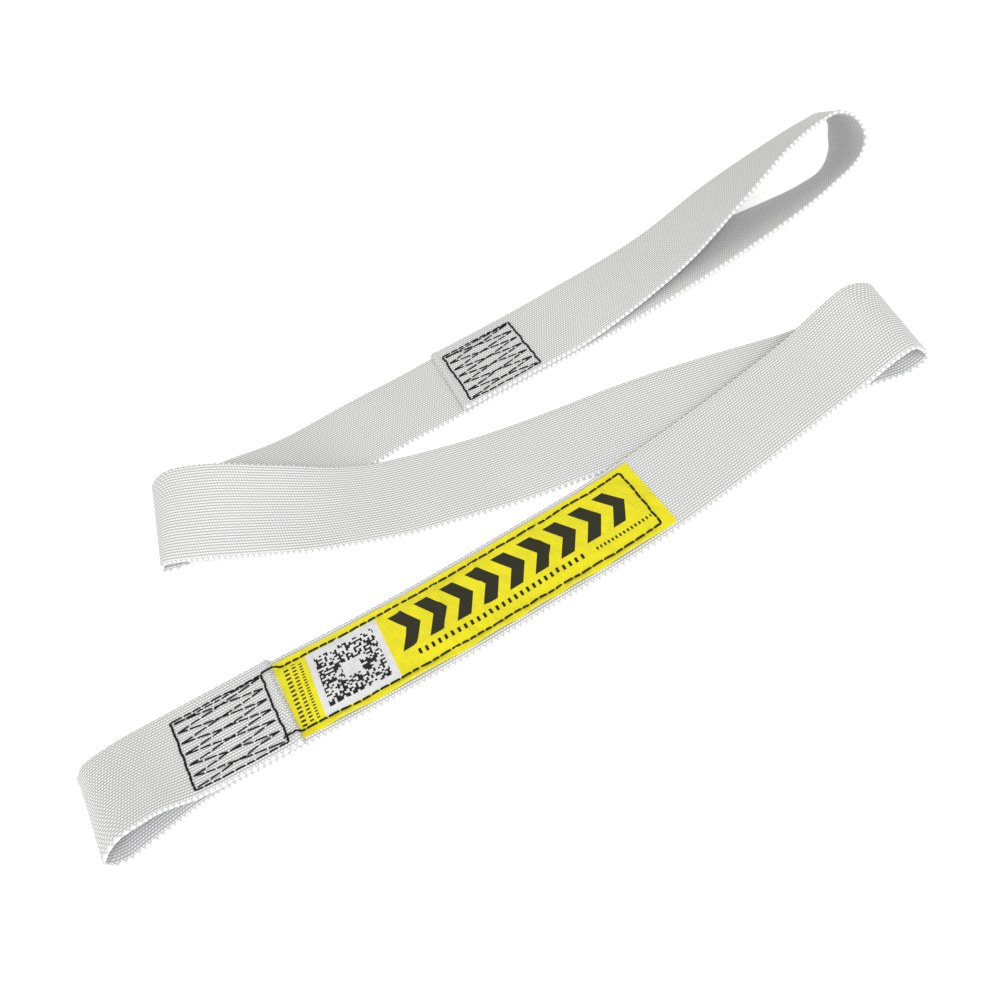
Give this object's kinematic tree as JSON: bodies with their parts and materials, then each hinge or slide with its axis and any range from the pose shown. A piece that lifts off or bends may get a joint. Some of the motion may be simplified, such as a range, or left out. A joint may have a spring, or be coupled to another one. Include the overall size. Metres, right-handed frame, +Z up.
{
  "type": "webbing sling",
  "caption": "Flat woven webbing sling with a sewn eye at each end and a sewn-on label, lying folded in three runs.",
  "frame": {"origin": "on the floor under the middle of the folded sling's box", "axes": "+X along the runs towards the far end of the large eye, +Y from the labelled run towards the run with the large eye, +Z up"},
  "size_m": [0.4445, 0.2458, 0.0524],
  "materials": {
    "webbing": "matte woven polyester",
    "label_film": "semi-gloss coated label",
    "thread": "matte black bonded thread"
  },
  "bodies": {
    "run_1": {"upper_run": "webbing", "upper_tail": "webbing", "upper_box_stitching": "thread"},
    "upper_eye": {"upper_eye": "webbing"},
    "run_2": {"middle_run": "webbing"},
    "run_3": {"lower_run": "webbing", "lower_tail": "webbing", "lower_box_stitching": "thread", "label": "label_film", "label_stitching": "thread"},
    "lower_eye": {"lower_eye": "webbing"}
  },
  "joints": [
    {"name": "left_fold", "type": "hinge", "parent": "run_1", "child": "run_2", "pos_m": [-0.16816, 0.04812, 0.00963], "axis": [-0.1013, -0.9597, -0.2621], "range_deg": [0, 170]},
    {"name": "right_fold", "type": "hinge", "parent": "run_2", "child": "run_3", "pos_m": [0.18264, -0.02419, 0.01025], "axis": [-0.0174, 0.9869, 0.1606], "range_deg": [0, 170]},
    {"name": "upper_eye_flex", "type": "hinge", "parent": "run_1", "child": "upper_eye", "pos_m": [0.03212, 0.07549, 0.0046], "axis": [0.1277, -0.9918, 0], "range_deg": [0, 90]},
    {"name": "lower_eye_flex", "type": "hinge", "parent": "run_3", "child": "lower_eye", "pos_m": [-0.17071, -0.08445, 0.00589], "axis": [-0.1901, 0.9815, -0.0219], "range_deg": [0, 90]}
  ]
}
